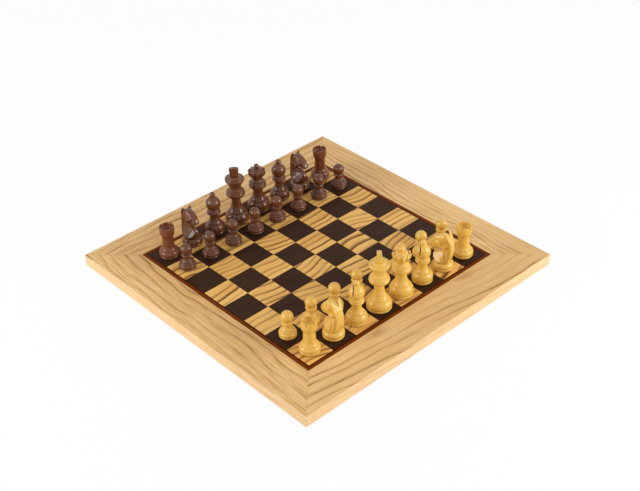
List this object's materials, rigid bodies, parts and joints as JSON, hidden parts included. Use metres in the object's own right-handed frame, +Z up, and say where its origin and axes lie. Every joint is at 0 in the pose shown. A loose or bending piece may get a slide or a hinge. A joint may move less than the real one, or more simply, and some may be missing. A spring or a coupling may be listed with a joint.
{
  "type": "chessboard with chessmen",
  "caption": "Flat inlaid chessboard in a wide mitred wooden frame, set up with a full set of turned wooden chessmen that lift off.",
  "frame": {"origin": "centre of the flat face that the board rests on, at the underside of its four pads", "axes": "+Z up, out of the playing field; +X from the light player's left to the right; +Y from the light player to the dark player"},
  "size_m": [0.4, 0.4, 0.0934],
  "materials": {
    "frame_wood": "pale ash with darker grain lines, satin varnish",
    "core": "plain sawn board",
    "border_wood": "reddish brown veneer, satin varnish",
    "striped_light_wood": "golden veneer with dark brown stripes, satin varnish",
    "dark_veneer": "nearly black brown veneer with fine grain, satin varnish",
    "felt": "green baize",
    "light_chessman": "honey boxwood under gloss lacquer",
    "dark_chessman": "dark reddish brown stained wood under gloss lacquer"
  },
  "bodies": {
    "board": {"core_panel": "core", "rail_front": "frame_wood", "rail_right": "frame_wood", "rail_back": "frame_wood", "rail_left": "frame_wood", "light_squares": "striped_light_wood", "dark_squares": "dark_veneer", "border_front": "border_wood", "border_right": "border_wood", "border_back": "border_wood", "border_left": "border_wood", "corner_splines": "border_wood", "backing_sheet": "felt", "base_pads": "felt"},
    "light_rook_1": {"light_rook_1": "light_chessman"},
    "light_knight_2": {"light_knight_2": "light_chessman", "light_knight_head_2": "light_chessman"},
    "light_bishop_3": {"light_bishop_3": "light_chessman"},
    "light_king_4": {"light_king_4": "light_chessman", "light_king_finial": "light_chessman"},
    "light_queen_5": {"light_queen_5": "light_chessman"},
    "light_bishop_6": {"light_bishop_6": "light_chessman"},
    "light_knight_7": {"light_knight_7": "light_chessman", "light_knight_head_7": "light_chessman"},
    "light_rook_8": {"light_rook_8": "light_chessman"},
    "light_pawn_1": {"light_pawn_1": "light_chessman"},
    "light_pawn_2": {"light_pawn_2": "light_chessman"},
    "light_pawn_3": {"light_pawn_3": "light_chessman"},
    "light_pawn_4": {"light_pawn_4": "light_chessman"},
    "light_pawn_5": {"light_pawn_5": "light_chessman"},
    "light_pawn_6": {"light_pawn_6": "light_chessman"},
    "light_pawn_7": {"light_pawn_7": "light_chessman"},
    "light_pawn_8": {"light_pawn_8": "light_chessman"},
    "dark_rook_1": {"dark_rook_1": "dark_chessman"},
    "dark_knight_2": {"dark_knight_2": "dark_chessman", "dark_knight_head_2": "dark_chessman"},
    "dark_bishop_3": {"dark_bishop_3": "dark_chessman"},
    "dark_king_4": {"dark_king_4": "dark_chessman", "dark_king_finial": "dark_chessman"},
    "dark_queen_5": {"dark_queen_5": "dark_chessman"},
    "dark_bishop_6": {"dark_bishop_6": "dark_chessman"},
    "dark_knight_7": {"dark_knight_7": "dark_chessman", "dark_knight_head_7": "dark_chessman"},
    "dark_rook_8": {"dark_rook_8": "dark_chessman"},
    "dark_pawn_1": {"dark_pawn_1": "dark_chessman"},
    "dark_pawn_2": {"dark_pawn_2": "dark_chessman"},
    "dark_pawn_3": {"dark_pawn_3": "dark_chessman"},
    "dark_pawn_4": {"dark_pawn_4": "dark_chessman"},
    "dark_pawn_5": {"dark_pawn_5": "dark_chessman"},
    "dark_pawn_6": {"dark_pawn_6": "dark_chessman"},
    "dark_pawn_7": {"dark_pawn_7": "dark_chessman"},
    "dark_pawn_8": {"dark_pawn_8": "dark_chessman"}
  },
  "joints": [
    {"name": "light_rook_1_lift", "type": "slide", "parent": "board", "child": "light_rook_1", "axis": [0, 0, 1], "range_m": [0, 0.1]},
    {"name": "light_knight_2_lift", "type": "slide", "parent": "board", "child": "light_knight_2", "axis": [0, 0, 1], "range_m": [0, 0.1]},
    {"name": "light_bishop_3_lift", "type": "slide", "parent": "board", "child": "light_bishop_3", "axis": [0, 0, 1], "range_m": [0, 0.1]},
    {"name": "light_king_4_lift", "type": "slide", "parent": "board", "child": "light_king_4", "axis": [0, 0, 1], "range_m": [0, 0.1]},
    {"name": "light_queen_5_lift", "type": "slide", "parent": "board", "child": "light_queen_5", "axis": [0, 0, 1], "range_m": [0, 0.1]},
    {"name": "light_bishop_6_lift", "type": "slide", "parent": "board", "child": "light_bishop_6", "axis": [0, 0, 1], "range_m": [0, 0.1]},
    {"name": "light_knight_7_lift", "type": "slide", "parent": "board", "child": "light_knight_7", "axis": [0, 0, 1], "range_m": [0, 0.1]},
    {"name": "light_rook_8_lift", "type": "slide", "parent": "board", "child": "light_rook_8", "axis": [0, 0, 1], "range_m": [0, 0.1]},
    {"name": "light_pawn_1_lift", "type": "slide", "parent": "board", "child": "light_pawn_1", "axis": [0, 0, 1], "range_m": [0, 0.1]},
    {"name": "light_pawn_2_lift", "type": "slide", "parent": "board", "child": "light_pawn_2", "axis": [0, 0, 1], "range_m": [0, 0.1]},
    {"name": "light_pawn_3_lift", "type": "slide", "parent": "board", "child": "light_pawn_3", "axis": [0, 0, 1], "range_m": [0, 0.1]},
    {"name": "light_pawn_4_lift", "type": "slide", "parent": "board", "child": "light_pawn_4", "axis": [0, 0, 1], "range_m": [0, 0.1]},
    {"name": "light_pawn_5_lift", "type": "slide", "parent": "board", "child": "light_pawn_5", "axis": [0, 0, 1], "range_m": [0, 0.1]},
    {"name": "light_pawn_6_lift", "type": "slide", "parent": "board", "child": "light_pawn_6", "axis": [0, 0, 1], "range_m": [0, 0.1]},
    {"name": "light_pawn_7_lift", "type": "slide", "parent": "board", "child": "light_pawn_7", "axis": [0, 0, 1], "range_m": [0, 0.1]},
    {"name": "light_pawn_8_lift", "type": "slide", "parent": "board", "child": "light_pawn_8", "axis": [0, 0, 1], "range_m": [0, 0.1]},
    {"name": "dark_rook_1_lift", "type": "slide", "parent": "board", "child": "dark_rook_1", "axis": [0, 0, 1], "range_m": [0, 0.1]},
    {"name": "dark_knight_2_lift", "type": "slide", "parent": "board", "child": "dark_knight_2", "axis": [0, 0, 1], "range_m": [0, 0.1]},
    {"name": "dark_bishop_3_lift", "type": "slide", "parent": "board", "child": "dark_bishop_3", "axis": [0, 0, 1], "range_m": [0, 0.1]},
    {"name": "dark_king_4_lift", "type": "slide", "parent": "board", "child": "dark_king_4", "axis": [0, 0, 1], "range_m": [0, 0.1]},
    {"name": "dark_queen_5_lift", "type": "slide", "parent": "board", "child": "dark_queen_5", "axis": [0, 0, 1], "range_m": [0, 0.1]},
    {"name": "dark_bishop_6_lift", "type": "slide", "parent": "board", "child": "dark_bishop_6", "axis": [0, 0, 1], "range_m": [0, 0.1]},
    {"name": "dark_knight_7_lift", "type": "slide", "parent": "board", "child": "dark_knight_7", "axis": [0, 0, 1], "range_m": [0, 0.1]},
    {"name": "dark_rook_8_lift", "type": "slide", "parent": "board", "child": "dark_rook_8", "axis": [0, 0, 1], "range_m": [0, 0.1]},
    {"name": "dark_pawn_1_lift", "type": "slide", "parent": "board", "child": "dark_pawn_1", "axis": [0, 0, 1], "range_m": [0, 0.1]},
    {"name": "dark_pawn_2_lift", "type": "slide", "parent": "board", "child": "dark_pawn_2", "axis": [0, 0, 1], "range_m": [0, 0.1]},
    {"name": "dark_pawn_3_lift", "type": "slide", "parent": "board", "child": "dark_pawn_3", "axis": [0, 0, 1], "range_m": [0, 0.1]},
    {"name": "dark_pawn_4_lift", "type": "slide", "parent": "board", "child": "dark_pawn_4", "axis": [0, 0, 1], "range_m": [0, 0.1]},
    {"name": "dark_pawn_5_lift", "type": "slide", "parent": "board", "child": "dark_pawn_5", "axis": [0, 0, 1], "range_m": [0, 0.1]},
    {"name": "dark_pawn_6_lift", "type": "slide", "parent": "board", "child": "dark_pawn_6", "axis": [0, 0, 1], "range_m": [0, 0.1]},
    {"name": "dark_pawn_7_lift", "type": "slide", "parent": "board", "child": "dark_pawn_7", "axis": [0, 0, 1], "range_m": [0, 0.1]},
    {"name": "dark_pawn_8_lift", "type": "slide", "parent": "board", "child": "dark_pawn_8", "axis": [0, 0, 1], "range_m": [0, 0.1]}
  ]
}
